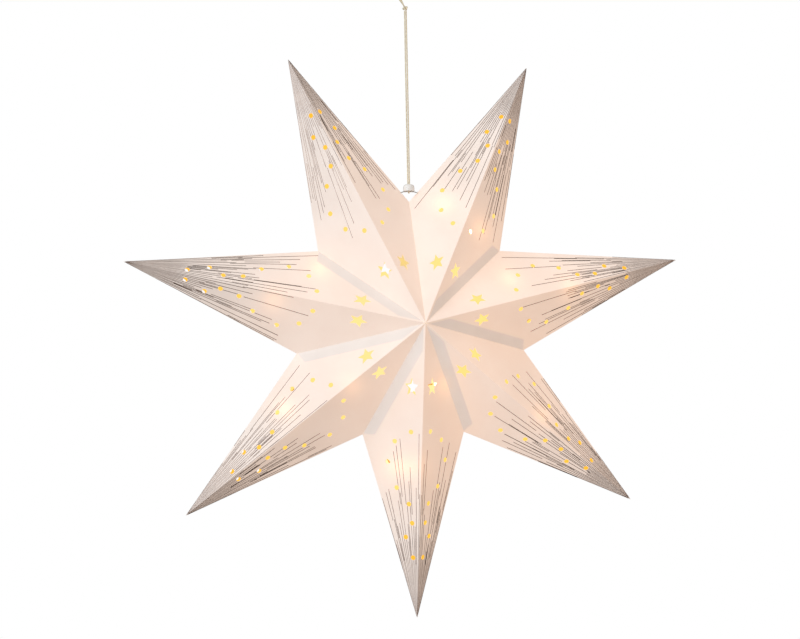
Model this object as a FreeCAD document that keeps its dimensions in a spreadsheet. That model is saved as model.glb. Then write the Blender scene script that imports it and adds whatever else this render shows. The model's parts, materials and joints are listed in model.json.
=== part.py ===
import FreeCAD
import Part

import math
import os
import sys

from FreeCAD import Placement, Rotation, Vector

# A seven-pointed folding star lantern of white card, lit from inside by a battery light set.
# Lengths are millimetres. The origin is where the cord loop hangs, just under its knot.
# +Z is up, the star's front faces -Y and the star's centre is straight below the origin.

os.makedirs("parts", exist_ok=True)
doc = FreeCAD.newDocument("paper_star")

# ---------------------------------------------------------------- driving dimensions

SIZES = {
    "star_radius": 300.0,
    "valley_radius": 123.5,
    "seam_valley_radius": 128.0,
    "half_depth": 62.0,
    "centre_drop": 326.0,
    "card_thickness": 0.4,
    "fold_gap": 0.1,
    "flap_width": 11.5,
    "flap_taper": 22.0,
    "dot_radius": 2.5,
    "cutout_radius": 7.7,
    "cutout_inner_radius": 3.5,
    "cutout_stretch": 1.28,
    "tab_length": 20.0,
    "tab_start": 26.0,
    "closure_dot_radius": 3.6,
    "closure_dot_height": 0.8,
    "cord_diameter": 1.5,
    "strand_offset": 0.8,
    "tail_length": 20.0,
    "knot_radius": 2.9,
    "knot_height": 3.0,
    "cap_radius": 5.8,
    "cap_height": 7.0,
    "cap_bottom": 138.6,
    "cap_wall": 1.2,
    "hanger_wire_diameter": 1.0,
    "bow_half_width": 9.4,
    "case_width": 39.0,
    "case_depth": 17.0,
    "case_height": 62.0,
    "case_wall": 1.5,
    "case_top": 74.0,
    "case_corner": 3.0,
    "cover_thickness": 1.5,
    "cell_radius": 5.25,
    "cell_length": 43.2,
    "cell_cap_radius": 1.9,
    "cell_cap_height": 1.0,
    "cell_pitch": 11.6,
    "spring_room": 2.6,
    "plate_thickness": 0.4,
    "board_height": 8.0,
    "switch_travel": 3.0,
    "light_wire_diameter": 1.6,
    "bead_length": 6.0,
    "bead_radius": 2.5,
}

POINT_COUNT = 7
PITCH = 360.0 / POINT_COUNT
LAST_POINT_LEAN = 1.3  # degrees that the last point is pulled over towards the closing seam

sheet = doc.addObject("Spreadsheet::Sheet", "dimensions")
for row, (alias, value) in enumerate(SIZES.items(), start=1):
    sheet.set(f"A{row}", alias)
    sheet.set(f"B{row}", str(value))
    sheet.setAlias(f"B{row}", alias)
doc.recompute()


def size(alias):
    return float(sheet.get(alias))


CENTRE = Vector(0, 0, -size("centre_drop"))
pieces = []


def keep(piece, label):
    piece.Label = label
    pieces.append(piece)
    return piece


def bind(piece, **expressions):
    """Binds each named size of a piece to an expression of the sheet's cells."""
    for name, text in expressions.items():
        for alias in sorted(SIZES, key=len, reverse=True):
            text = text.replace(f"[{alias}]", f"dimensions.{alias}")
        piece.setExpression(name, text)


def plain_piece(label, shape):
    """A piece whose shape is made from the sheet's values in code."""
    piece = doc.addObject("Part::Feature", label)
    piece.Shape = shape
    return keep(piece, label)


# ---------------------------------------------------------------- folded card


def solid_between(outer, inner):
    """The solid between two matching flat outlines, joined corner to corner."""
    faces = [Part.Face(Part.makePolygon(outline + outline[:1])) for outline in (outer, inner)]
    for i in range(len(outer)):
        j = (i + 1) % len(outer)
        rim = [outer[i], outer[j], inner[j], inner[i], outer[i]]
        faces.append(Part.Face(Part.makePolygon(rim)))
    solid = Part.Solid(Part.Shell(faces))
    if solid.Volume < 0:
        solid.reverse()
    return solid


class Facet:
    """One flat triangle of card from an apex on the star's axis out to a tip and a valley.

    Its points are relative to the star's centre, with the point's ridge along +X. The card's
    inner face is the outer one shrunk towards the centre, which mitres every fold.
    """

    def __init__(self, front, side, valley_radius, half_angle):
        self.apex = Vector(0, -front * size("half_depth"), 0)
        self.tip = Vector(size("star_radius"), 0, 0)
        turn = math.radians(side * half_angle)
        self.valley = Vector(math.cos(turn), 0, math.sin(turn)) * valley_radius
        self.along = (self.tip - self.apex).normalize()
        normal = (self.tip - self.apex).cross(self.valley - self.apex).normalize()
        self.outward = normal if normal.dot(self.apex) > 0 else normal * -1
        off = self.valley - self.apex
        self.across = (off - self.along * off.dot(self.along)).normalize()
        self.centre_distance = self.outward.dot(self.apex)

    def at(self, along, across, depth=0.0):
        """A point on the card, measured from the apex along and off the ridge."""
        return self.apex + self.along * along + self.across * across - self.outward * depth

    def shrink(self, depth):
        return (self.centre_distance - depth) / self.centre_distance

    def panel(self):
        """The card triangle, a hair short of the valley where it meets the next point."""
        to_tip = (self.tip - self.valley).normalize()
        into = (self.tip - self.apex).normalize()
        gap = size("fold_gap")
        outer = [self.apex + into * gap, self.tip, self.valley + to_tip * gap]
        scale = self.shrink(size("card_thickness"))
        return solid_between(outer, [p * scale for p in outer])

    def rod(self, along, across, radius):
        """A punch through the card at one place."""
        start = self.at(along, across, -1.0)
        return Part.makeCylinder(radius, 2.0 + size("card_thickness"), start, self.outward * -1)

    def star_punch(self, along, across):
        """A five-pointed punch with one point towards the apex."""
        corners = []
        for i in range(10):
            radius = size("cutout_radius") if i % 2 == 0 else size("cutout_inner_radius")
            turn = math.pi + i * math.pi / 5
            reach = radius * size("cutout_stretch") * math.cos(turn)
            corners.append(self.at(along + reach, across + radius * math.sin(turn), -1.0))
        face = Part.Face(Part.makePolygon(corners + corners[:1]))
        return face.extrude(self.outward * -(2.0 + size("card_thickness")))

    def strip(self, start, end, width, taper, layer):
        """A strip of card under the facet, beside the valley and layer thicknesses down."""
        card = size("card_thickness")
        inset = size("fold_gap") + 0.6
        edge = (self.valley - self.apex).normalize()
        inward = (self.along - edge * self.along.dot(edge)).normalize()
        foot = self.apex + inward * inset
        outline = [
            foot + edge * start,
            foot + edge * end,
            foot + edge * (end - taper * 0.3) + inward * width,
            foot + edge * (start + taper) + inward * width,
        ]
        top = [p - self.outward * (card * layer) for p in outline]
        return solid_between(top, [p - self.outward * card for p in top])


# The punched pattern on every facet: places along the ridge from the apex and off the ridge.
DOT_PLACES = [
    (112.5, 12.5),
    (124.0, 30.0),
    (146.0, 37.0),
    (172.0, 26.5),
    (187.5, 12.6),
    (207.0, 8.5),
    (222.5, 15.0),
    (243.0, 6.3),
]
CUTOUT_PLACE = (66.5, 13.0)

# The hanger wire bows under the cap, enters a point on each side of the seam and meets
# itself again inside the star, where the battery case hangs on it.
bow = size("bow_half_width")
bow_top = size("cap_bottom") - size("hanger_wire_diameter") / 2 - 0.05
eye_height = size("case_top") + 4.2


def hanger_wire_half(side):
    """The wire's corners from under the cap down to the case eye, on one side."""
    return [
        (side * bow * 0.64, 0, bow_top),
        (side * (bow + 1.0), 0, bow_top - 1.9),
        (side * (bow + 0.8), 0, bow_top - 9.0),
        (side * bow * 0.72, 0, bow_top - 24.0),
        (side * bow * 0.38, 0, eye_height + 10.0),
        (side * 1.6, 0, eye_height + 1.2),
    ]


def hanger_hole(side):
    """The round hole in a point's outer fold that the hanger wire goes through."""
    start, end = [CENTRE + Vector(*p) for p in hanger_wire_half(side)[:2]]
    return Part.makeCylinder(1.1, (end - start).Length, start, end - start)


FRONT_AND_BACK = (1, -1)
HALF_PITCH = PITCH / 2
SEAM_TURN = 90.0  # the seam stands straight above the centre


def point_angle(number):
    """The turn of one point about the star's axis, numbered clockwise from the seam."""
    lean = LAST_POINT_LEAN if number == POINT_COUNT else 0.0
    return SEAM_TURN - PITCH * (number - 0.5) - lean


def place_on_star(shape, number):
    """Turns a shape made along +X to its own point and lowers it to the star's centre."""
    shape.rotate(Vector(0, 0, 0), Vector(0, -1, 0), point_angle(number))
    shape.translate(CENTRE)
    return shape


def facets_of(number):
    """Front and back facets on both sides of a point; side -1 is the clockwise one.

    Points are numbered clockwise from the seam, so it lies on the first point's side 1
    and on the last point's side -1.
    """
    lean = LAST_POINT_LEAN if number == POINT_COUNT else 0.0
    found = []
    for front in FRONT_AND_BACK:
        for side in (1, -1):
            at_seam = (number, side) in ((1, 1), (POINT_COUNT, -1))
            radius = size("seam_valley_radius") if at_seam else size("valley_radius")
            found.append(Facet(front, side, radius, HALF_PITCH + side * lean))
    return found


def paper_point(number):
    """One point of the star: four triangles of card meeting at their folds."""
    panels = []
    for facet in facets_of(number):
        punches = [facet.rod(along, across, size("dot_radius")) for along, across in DOT_PLACES]
        punches.append(facet.star_punch(*CUTOUT_PLACE))
        panels.append(facet.panel().cut(punches).Solids[0])
    point = place_on_star(Part.makeCompound(panels), number)
    if number in (1, POINT_COUNT):
        point = point.cut(hanger_hole(1 if number == 1 else -1))
    return point


def valley_length(facet):
    return (facet.valley - facet.apex).Length


def glue_flaps(number):
    """The next point's flaps, glued under this point's clockwise front and back facets."""
    strips = []
    for front in FRONT_AND_BACK:
        facet = Facet(front, -1, size("valley_radius"), HALF_PITCH)
        end = valley_length(facet) - 1.5
        strips.append(facet.strip(4.0, end, size("flap_width"), size("flap_taper"), 1))
    return place_on_star(Part.makeCompound(strips), number)


def seam_facets():
    """The first point's front and back facets beside the seam."""
    return [Facet(front, 1, size("seam_valley_radius"), HALF_PITCH) for front in FRONT_AND_BACK]


def closing_tabs():
    """Two short card tabs under the first point's seam edges, front and back."""
    start = size("tab_start")
    tabs = [
        facet.strip(start, start + size("tab_length"), size("flap_width"), 4.0, 3.0)
        for facet in seam_facets()
    ]
    return place_on_star(Part.makeCompound(tabs), 1)


def closure_dots(layer):
    """A round closure dot on each tab, layer card thicknesses under the card."""
    dots = []
    for facet in seam_facets():
        edge = (facet.valley - facet.apex).normalize()
        inward = (facet.along - edge * facet.along.dot(edge)).normalize()
        middle = facet.apex + edge * (size("tab_start") + size("tab_length") * 0.58)
        middle += inward * (size("flap_width") * 0.5)
        start = middle - facet.outward * (layer * size("card_thickness"))
        height = size("closure_dot_height") * 0.5
        dots.append(
            Part.makeCylinder(size("closure_dot_radius"), height, start, facet.outward * -1)
        )
    return place_on_star(Part.makeCompound(dots), 1)


for number in range(1, POINT_COUNT + 1):
    plain_piece(f"paper_point_{number}", paper_point(number))
for number in range(1, POINT_COUNT):
    plain_piece(f"glue_flap_{number}", glue_flaps(number))
plain_piece("closing_tabs", closing_tabs())
plain_piece("loop_dots", closure_dots(1.0))
plain_piece("hook_dots", closure_dots(2.0))

# ---------------------------------------------------------------- wires and cords


def smooth_path(points):
    """Straight runs joined by tangent arcs, each arc as large as its two runs allow.

    Gives the wire and the radius of every arc.
    """
    edges = []
    radii = []
    start = points[0]
    for before, corner, after in zip(points, points[1:], points[2:]):
        to_corner = (corner - before).normalize()
        from_corner = (after - corner).normalize()
        half_turn = to_corner.getAngle(from_corner) / 2
        reach = 0.45 * min((corner - before).Length, (after - corner).Length)
        radius = reach / math.tan(half_turn)
        radii.append(radius)
        enter = corner - to_corner * reach
        leave = corner + from_corner * reach
        inward = (from_corner - to_corner).normalize()
        middle = corner + inward * (radius / math.cos(half_turn) - radius)
        edges.append(Part.LineSegment(start, enter).toShape())
        edges.append(Part.Arc(enter, middle, leave).toShape())
        start = leave
    edges.append(Part.LineSegment(start, points[-1]).toShape())
    return Part.Wire(edges), radii


def tube(name, points, diameter):
    """A round tube along a route, checked against its section times its length."""
    path, radii = smooth_path(points)
    start_direction = points[1] - points[0]
    ring = Part.Wire(Part.makeCircle(diameter / 2, points[0], start_direction))
    shell = path.makePipeShell([ring], True, True, 2)
    expected = math.pi * diameter**2 / 4 * path.Length
    if abs(shell.Volume - expected) > 0.02 * expected:
        sys.exit(f"{name}: volume {shell.Volume:.1f}, expected {expected:.1f}")
    print(name, "length", round(path.Length, 1), "radii", [round(r, 1) for r in radii])
    return shell.Solids[0] if shell.Solids else shell


def from_centre(points):
    return [CENTRE + Vector(*p) for p in points]


# The cord runs doubled from the cap up to the knot, where its cut ends leave to the left.
cord_offset = size("strand_offset")
knot_centre = size("knot_height")
STRAND_FOOT = CENTRE.z + bow_top + size("cord_diameter") * 1.37 + 0.35


def strand(side):
    """One strand from inside the cap to the knot, bowed out slightly on its way up."""
    foot = STRAND_FOOT
    top = knot_centre - size("knot_radius") * 0.9
    rise = top - foot
    return [
        Vector(side * cord_offset, 0, foot),
        Vector(side * (cord_offset + 0.15), 0.15 * side, foot + rise * 0.34),
        Vector(side * (cord_offset + 0.05), -0.15 * side, foot + rise * 0.70),
        Vector(side * cord_offset, 0, top),
    ]


def tail(side):
    """A cut end above the knot, leaning to the left."""
    foot = Vector(-1.2 + side * 0.5, side * cord_offset, knot_centre + size("knot_radius") * 0.7)
    lean = 1.0 + 0.25 * side
    rise = size("tail_length")
    return [
        foot,
        foot + Vector(-3.4 * lean, 0.3 * side, rise * 0.33),
        foot + Vector(-8.6 * lean, 0.9 * side, rise * 0.64),
        foot + Vector(-14.6 * lean, 1.2 * side, rise * (0.88 + 0.06 * side)),
    ]


for name, side in (("left", -1), ("right", 1)):
    run = tube(f"strand_{name}", strand(side), size("cord_diameter"))
    end = tube(f"tail_{name}", tail(side), size("cord_diameter") * 0.9)
    plain_piece(f"hanging_cord_{name}", Part.makeCompound([run, end]))

knot = doc.addObject("Part::Ellipsoid", "top_knot")
bind(
    knot,
    Radius1="[knot_radius] * 0.95",
    Radius2="[knot_radius] * 1.2",
    Radius3="[knot_radius]",
)
knot.Placement.Base = Vector(0, 0, knot_centre)
keep(knot, "top_knot")

# The doubled cord's lower end goes round the hanger wire, under the cap.
cap_loop = doc.addObject("Part::Torus", "cap_loop")
bind(
    cap_loop,
    Radius1="[cord_diameter] / 2 + [hanger_wire_diameter] / 2 + 0.05",
    Radius2="[cord_diameter] / 2",
)
cap_loop.Placement = Placement(CENTRE + Vector(0, 0, bow_top), Rotation(Vector(0, 1, 0), 90))
keep(cap_loop, "cap_loop")

inner_end = eye_height - 0.6
wire_route = (
    [(-0.7, 0, inner_end)]
    + hanger_wire_half(-1)[::-1]
    + hanger_wire_half(1)
    + [(0.7, 0, inner_end)]
)
plain_piece(
    "hanger_wire",
    tube("hanger_wire", from_centre(wire_route), size("hanger_wire_diameter")),
)


# ---------------------------------------------------------------- sketched bodies


def origin_plane(body, role):
    return next(f for f in body.Origin.OriginFeatures if f.Role == role)


def sketch_on(body, name, role, outline):
    """A closed sketch of straight lines on one of the body's own origin planes."""
    sketch = body.newObject("Sketcher::SketchObject", name)
    sketch.AttachmentSupport = [(origin_plane(body, role), "")]
    sketch.MapMode = "FlatFace"
    for start, end in zip(outline, outline[1:] + outline[:1]):
        sketch.addGeometry(Part.LineSegment(Vector(*start, 0), Vector(*end, 0)), False)
    return sketch


def rectangle(low_x, low_y, high_x, high_y):
    return [(low_x, low_y), (high_x, low_y), (high_x, high_y), (low_x, high_y)]


cap = doc.addObject("PartDesign::Body", "hanger_cap")
cap_r = size("cap_radius")
cap_h = size("cap_height")
wall = size("cap_wall")
bore = cord_offset + size("cord_diameter") / 2 + 0.15
profile = sketch_on(
    cap,
    "cap_profile",
    "XZ_Plane",
    [
        (bore, cap_h),
        (cap_r * 0.62, cap_h - 0.15),
        (cap_r * 0.86, cap_h * 0.86),
        (cap_r * 0.97, cap_h * 0.66),
        (cap_r, cap_h * 0.40),
        (cap_r, 0.0),
        (cap_r - wall, 0.0),
        (cap_r - wall, cap_h * 0.5),
        (cap_r * 0.62, cap_h - 1.9),
        (bore, cap_h - 1.9),
    ],
)
revolution = cap.newObject("PartDesign::Revolution", "cap_turn")
revolution.Profile = profile
revolution.ReferenceAxis = (profile, ["V_Axis"])
revolution.Angle = 360
cap.Placement.Base = CENTRE + Vector(0, 0, size("cap_bottom"))
keep(cap, "hanger_cap")

# ---------------------------------------------------------------- battery case

case_w = size("case_width")
case_d = size("case_depth")
case_h = size("case_height")
case_wall = size("case_wall")
case_base = CENTRE + Vector(0, 0, size("case_top") - case_h)

case = doc.addObject("PartDesign::Body", "battery_case")
outline = sketch_on(
    case, "case_outline", "XY_Plane", rectangle(-case_w / 2, -case_d / 2, case_w / 2, case_d / 2)
)
pad = case.newObject("PartDesign::Pad", "case_block")
pad.Profile = outline
bind(pad, Length="[case_height]")
doc.recompute()
corners = [
    f"Edge{i}"
    for i, e in enumerate(pad.Shape.Edges, start=1)
    if abs(e.tangentAt(e.FirstParameter).z) > 0.9
]
fillet = case.newObject("PartDesign::Fillet", "case_corners")
fillet.Base = (pad, corners)
bind(fillet, Radius="[case_corner]")
doc.recompute()

# The bay opens backwards (+Y), where the sliding cover closes it.
cover_t = size("cover_thickness")
bay_depth = case_d - case_wall
bay = sketch_on(
    case,
    "bay_outline",
    "XZ_Plane",
    rectangle(-case_w / 2 + case_wall, case_wall, case_w / 2 - case_wall, case_h - case_wall),
)
bay.AttachmentOffset = Placement(Vector(0, 0, -case_d / 2 - 1.0), Rotation())
pocket = case.newObject("PartDesign::Pocket", "bay")
pocket.Profile = bay
pocket.Length = bay_depth + 1.0
doc.recompute()
if abs(pocket.Shape.Volume - fillet.Shape.Volume) < 1.0:
    pocket.Reversed = not pocket.Reversed
    doc.recompute()

# The bottom wall is notched so that the cover can slide out downwards.
way = sketch_on(
    case,
    "cover_way_outline",
    "XZ_Plane",
    rectangle(-case_w / 2 + case_wall, -1.0, case_w / 2 - case_wall, case_wall + 1.0),
)
way.AttachmentOffset = Placement(Vector(0, 0, -case_d / 2 - 1.0), Rotation())
way_cut = case.newObject("PartDesign::Pocket", "cover_way")
way_cut.Profile = way
bind(way_cut, Length="[cover_thickness] + 1.4")
way_cut.Reversed = pocket.Reversed
doc.recompute()

# A slot in the front face lets the switch through.
SWITCH_X = 6.2
slot = sketch_on(
    case,
    "switch_slot",
    "XZ_Plane",
    rectangle(SWITCH_X - 2.2, case_h - 9.0, SWITCH_X + 2.2 + size("switch_travel"), case_h - 5.4),
)
slot.AttachmentOffset = Placement(Vector(0, 0, case_d / 2 - 3.0), Rotation())
slot_cut = case.newObject("PartDesign::Pocket", "switch_slot_cut")
slot_cut.Profile = slot
slot_cut.Length = 6.0
doc.recompute()
before_slot = way_cut.Shape.Volume
if abs(slot_cut.Shape.Volume - before_slot) < 1.0:
    slot_cut.Reversed = not slot_cut.Reversed
    doc.recompute()
print("case volumes", [round(f.Shape.Volume) for f in (fillet, pocket, way_cut, slot_cut)])
case.Placement.Base = case_base
keep(case, "battery_case")

# A moulded eye on top of the case, which the hanger wire passes through.
EYE_CENTRE = 3.6
EYE_WIDTH = 2.2
lug_foot = CENTRE + Vector(-EYE_WIDTH / 2, 0, size("case_top"))
lug_block = doc.addObject("Part::Box", "eye_block")
lug_block.Length = EYE_WIDTH
lug_block.Width = 7.0
lug_block.Height = EYE_CENTRE
lug_block.Placement.Base = lug_foot - Vector(0, 3.5, 0)
lug_round = doc.addObject("Part::Cylinder", "eye_round")
lug_hole = doc.addObject("Part::Cylinder", "eye_hole")
for cylinder, radius in ((lug_round, 3.5), (lug_hole, 2.1)):
    cylinder.Radius = radius
    cylinder.Height = EYE_WIDTH
    cylinder.Placement = Placement(
        lug_foot + Vector(0, 0, EYE_CENTRE), Rotation(Vector(0, 1, 0), 90)
    )
lug = doc.addObject("Part::Fuse", "eye_lug")
lug.Base = lug_block
lug.Tool = lug_round
eye = doc.addObject("Part::Cut", "case_eye")
eye.Base = lug
eye.Tool = lug_hole
keep(eye, "case_eye")

# The cover slides down out of the back of the case.
cover = doc.addObject("PartDesign::Body", "battery_cover")
cover_w = case_w - 2 * case_wall - 0.4
cover_sketch = sketch_on(
    cover,
    "cover_outline",
    "XY_Plane",
    [
        (-cover_w / 2, 0),
        (cover_w / 2, 0),
        (cover_w / 2, cover_t),
        (-cover_w / 2, cover_t),
    ],
)
cover_pad = cover.newObject("PartDesign::Pad", "cover_plate")
cover_pad.Profile = cover_sketch
bind(cover_pad, Length="[case_height] - 2 * [case_wall] - 0.4")
cover.Placement.Base = case_base + Vector(0, case_d / 2 - cover_t - 0.2, case_wall + 0.2)
keep(cover, "battery_cover")

# Three cells side by side, the middle one upside down.
cell_z = case_base.z + case_wall + 3.2
cell_y = -case_d / 2 + case_wall + size("cell_radius") + 0.3
for index in range(3):
    barrel = doc.addObject("Part::Cylinder", f"cell_barrel_{index + 1}")
    bind(barrel, Radius="[cell_radius]", Height="[cell_length]")
    nub = doc.addObject("Part::Cylinder", f"cell_nub_{index + 1}")
    bind(nub, Radius="[cell_cap_radius]", Height="[cell_cap_height]")
    nub.Placement.Base = Vector(0, 0, size("cell_length"))
    cell = doc.addObject("Part::MultiFuse", f"battery_cell_{index + 1}")
    cell.Shapes = [barrel, nub]
    middle = index == 1
    turn = Rotation(Vector(1, 0, 0), 180) if middle else Rotation()
    lift = size("cell_length") + 1.0 if middle else 0.0
    place = Vector((index - 1) * size("cell_pitch"), cell_y, cell_z + lift)
    cell.Placement = Placement(place, turn)
    keep(cell, f"battery_cell_{index + 1}")

# Contacts: flat plates top and bottom, with a leaf spring at each cell's negative end.
plate_t = size("plate_thickness")
plate_size = size("cell_pitch") - 2.0
spring_room = size("spring_room")
cell_top = cell_z + size("cell_length") + size("cell_cap_height")
LEAF_WIDTH = 4.0


def contact_plate(index, low_z):
    low = Vector((index - 1) * size("cell_pitch") - plate_size / 2, cell_y - 4.0, low_z)
    return Part.makeBox(plate_size, 8.0, plate_t, low)


def leaf_spring(index, low_z):
    """A stamped leaf folded back on itself between a plate and a cell's flat end."""
    side_view = [
        (3.0, 0.0),
        (-3.2, 0.0),
        (-3.2, 0.45),
        (2.6, spring_room),
        (3.0, spring_room),
        (3.0, spring_room - 0.3),
        (-2.3, 0.3),
        (3.0, 0.3),
    ]
    middle = (index - 1) * size("cell_pitch")
    corners = [Vector(middle + x, cell_y - LEAF_WIDTH / 2, low_z + z) for x, z in side_view]
    face = Part.Face(Part.makePolygon(corners + corners[:1]))
    return face.extrude(Vector(0, LEAF_WIDTH, 0))


plates = []
springs = []
for index in range(3):
    upside_down = index == 1
    springs.append(leaf_spring(index, cell_top if upside_down else cell_z - spring_room))
    if upside_down:
        plates.append(contact_plate(index, cell_top + spring_room))
        plates.append(contact_plate(index, cell_z - plate_t))
    else:
        plates.append(contact_plate(index, cell_top))
        plates.append(contact_plate(index, cell_z - spring_room - plate_t))
plain_piece("contact_plates", Part.makeCompound(plates))
plain_piece("contact_springs", Part.makeCompound(springs))

# The timer board stands across the top of the bay, with the switch in front of it.
board = doc.addObject("Part::Box", "timer_board")
bind(board, Length="[case_width] - 2 * [case_wall] - 2", Width="1", Height="[board_height]")
board_z = case_base.z + case_h - case_wall - size("board_height") - 0.3
board.Placement.Base = Vector(-(case_w - 2 * case_wall - 2) / 2, -case_d / 2 + 5.6, board_z)
keep(board, "timer_board")

switch = doc.addObject("PartDesign::Body", "switch_slider")
switch_sketch = sketch_on(
    switch,
    "switch_outline",
    "XY_Plane",
    [(-1.8, -1.2), (1.8, -1.2), (1.8, 1.8), (3.2, 1.8), (3.2, 3.0), (-3.2, 3.0), (-3.2, 1.8),
     (-1.8, 1.8)],
)
switch_pad = switch.newObject("PartDesign::Pad", "switch_block")
switch_pad.Profile = switch_sketch
switch_pad.Length = 2.8
switch.Placement.Base = case_base + Vector(SWITCH_X, -case_d / 2, case_h - 8.6)
keep(switch, "switch_slider")

# The grommet that the light wire leaves the case through.
gland = doc.addObject("Part::Cone", "wire_gland")
bind(gland, Radius1="[light_wire_diameter] * 1.25", Radius2="[light_wire_diameter] * 0.8")
gland.Height = 6.0
GLAND_X = 13.0
gland.Placement.Base = CENTRE + Vector(GLAND_X, 0, size("case_top"))
keep(gland, "wire_gland")

# ---------------------------------------------------------------- light string

gland_top = size("case_top") + 6.0
LIGHT_ROUTE = [
    (GLAND_X, 0, gland_top),
    (14, 0, 96),
    (22, 1, 114),
    (42, 3, 132),
    (66, 6, 116),
    (70, 5, 80),
    (80, 3, 48),
    (118, 4, 42),
    (160, 8, 50),
    (168, 8, 24),
    (132, 4, 8),
    (96, 2, -14),
    (108, 4, -56),
    (138, 7, -86),
    (122, 7, -106),
    (96, 4, -88),
    (44, 2, -62),
    (8, 0, -60),
    (0, 2, -88),
    (4, 6, -118),
    (0, 7, -138),
    (-14, 8, -150),
    (-28, 7, -138),
    (-34, 4, -112),
    (-38, 2, -82),
    (-54, 0, -54),
    (-88, 4, -66),
    (-116, 6, -90),
    (-134, 7, -91),
    (-136, 6, -76),
    (-112, 5, -54),
    (-96, 2, -28),
    (-104, 4, 8),
    (-138, 8, 20),
    (-154, 8, 34),
    (-150, 8, 50),
    (-116, 4, 57),
    (-80, 2, 58),
]
# runs of the route that carry a light at their middle
LIT_RUNS = (2, 4, 6, 8, 13, 16, 20, 21, 25, 28, 33, 36)

route = from_centre(LIGHT_ROUTE)
bead_radius = size("bead_radius")
bead_length = size("bead_length")
wire_diameter = size("light_wire_diameter")


def bead(run):
    """A clear drop around the wire at the middle of a run, hollow where the wire goes."""
    start, end = route[run], route[run + 1]
    along = (end - start).normalize()
    foot = (start + end) * 0.5 - along * (bead_length / 2)
    barrel = Part.makeCylinder(bead_radius, bead_length, foot, along)
    barrel = barrel.makeFillet(bead_radius * 0.8, [e for e in barrel.Edges if e.Closed])
    return barrel.cut(
        Part.makeCylinder(wire_diameter / 2 + 0.05, bead_length * 2, foot - along * 3, along)
    )


plain_piece("light_wire", tube("light_wire", route, wire_diameter))
plain_piece("light_beads", Part.makeCompound([bead(run) for run in LIT_RUNS]))

# ---------------------------------------------------------------- checks and files

doc.recompute()
for thing in doc.Objects:
    if {"Invalid", "Error"} & set(thing.State):
        sys.exit(f"{thing.Label} failed: {thing.State}")
for piece in pieces:
    if piece.Shape.isNull() or not piece.Shape.isValid():
        sys.exit(f"{piece.Label} has no valid shape")

for old in os.listdir("parts"):
    if old.endswith(".step"):
        os.remove(os.path.join("parts", old))
for piece in pieces:
    piece.Shape.exportStep(f"parts/{piece.Label}.step")
print(len(pieces), "pieces written")
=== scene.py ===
"""A seven-pointed folding paper star lantern, lit from inside, hanging on a doubled fine cord.

Lengths are metres in the frame of the part: +Z up, the star's front faces -Y, and the origin
is where the cord loop hangs. Flat layouts of a card facet are in millimetres, u along its
ridge from the centre of the star and v off the ridge.
"""

import json
import math
import random

import bmesh
import bpy
from mathutils import Matrix, Vector
from mathutils.geometry import delaunay_2d_cdt


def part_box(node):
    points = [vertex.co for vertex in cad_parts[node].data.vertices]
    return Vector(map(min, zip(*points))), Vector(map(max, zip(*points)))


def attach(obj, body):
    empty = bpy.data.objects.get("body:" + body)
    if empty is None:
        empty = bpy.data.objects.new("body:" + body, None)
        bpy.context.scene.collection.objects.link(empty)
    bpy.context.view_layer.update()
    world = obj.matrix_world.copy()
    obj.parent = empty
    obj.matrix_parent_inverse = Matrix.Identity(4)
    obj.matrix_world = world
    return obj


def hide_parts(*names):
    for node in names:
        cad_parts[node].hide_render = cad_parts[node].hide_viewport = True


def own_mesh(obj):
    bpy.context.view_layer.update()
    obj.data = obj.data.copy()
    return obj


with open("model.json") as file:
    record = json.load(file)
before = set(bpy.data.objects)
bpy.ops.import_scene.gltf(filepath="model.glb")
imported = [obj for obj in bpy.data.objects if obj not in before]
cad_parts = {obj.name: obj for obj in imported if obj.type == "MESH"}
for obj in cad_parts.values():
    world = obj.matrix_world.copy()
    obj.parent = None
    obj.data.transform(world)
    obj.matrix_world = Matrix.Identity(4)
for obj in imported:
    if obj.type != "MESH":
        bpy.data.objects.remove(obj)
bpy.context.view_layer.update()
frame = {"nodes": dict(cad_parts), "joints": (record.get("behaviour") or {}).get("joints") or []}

# ---- driving dimensions

MM = 0.001
POINT_COUNT = 7
PITCH = 360.0 / POINT_COUNT
LAST_POINT_LEAN = 1.3
STAR_RADIUS = 300.0 * MM
VALLEY_RADIUS = 123.5 * MM
SEAM_VALLEY_RADIUS = 128.0 * MM
CARD = 0.4 * MM

HALF_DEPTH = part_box("paper_point_4")[1].y
CENTRE = Vector(next(j for j in frame["joints"] if j["name"] == "fan_fold")["pos_m"])

# the punched pattern of a facet, in its flat layout
DOT_RADIUS = 2.5
DOT_PLACES = (
    (112.5, 12.5), (124.0, 30.0), (146.0, 37.0), (172.0, 26.5),
    (187.5, 12.6), (207.0, 8.5), (222.5, 15.0), (243.0, 6.3),
)
CUTOUT_PLACE = (66.5, 13.0)
CUTOUT_RADIUS = 7.7
CUTOUT_INNER_RADIUS = 3.5
CUTOUT_STRETCH = 1.28

FLAP_WIDTH = 11.5
FLAP_START = 4.0
FLAP_END_GAP = 1.5
FLAP_TAPER = 22.0
OUTER_SLANT = 0.3  # slant of a strip's outer end, as a share of its inner taper
STRIP_INSET = 0.7
TAB_START = 26.0
TAB_LENGTH = 20.0
TAB_TAPER = 4.0
CLOSURE_DOT_RADIUS = 3.6
CLOSURE_DOT_PLACE = (0.58, 0.5)  # shares of the tab's length and width

WIRE_HOLE_LINE = ((4.0, 138.5), (13.0, 135.0))  # out from the seam, and up
WIRE_HOLE_RADIUS = 1.1 * MM

CORD_DIAMETER = 1.5 * MM
KNOT_HEIGHT = 3.0 * MM
STRAND_OFFSET = 0.8 * MM
WIRE_DIAMETER = 1.6 * MM
BEAD_RADIUS = 2.5 * MM
BEAD_LENGTH = 6.0 * MM

# ---- camera

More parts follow.
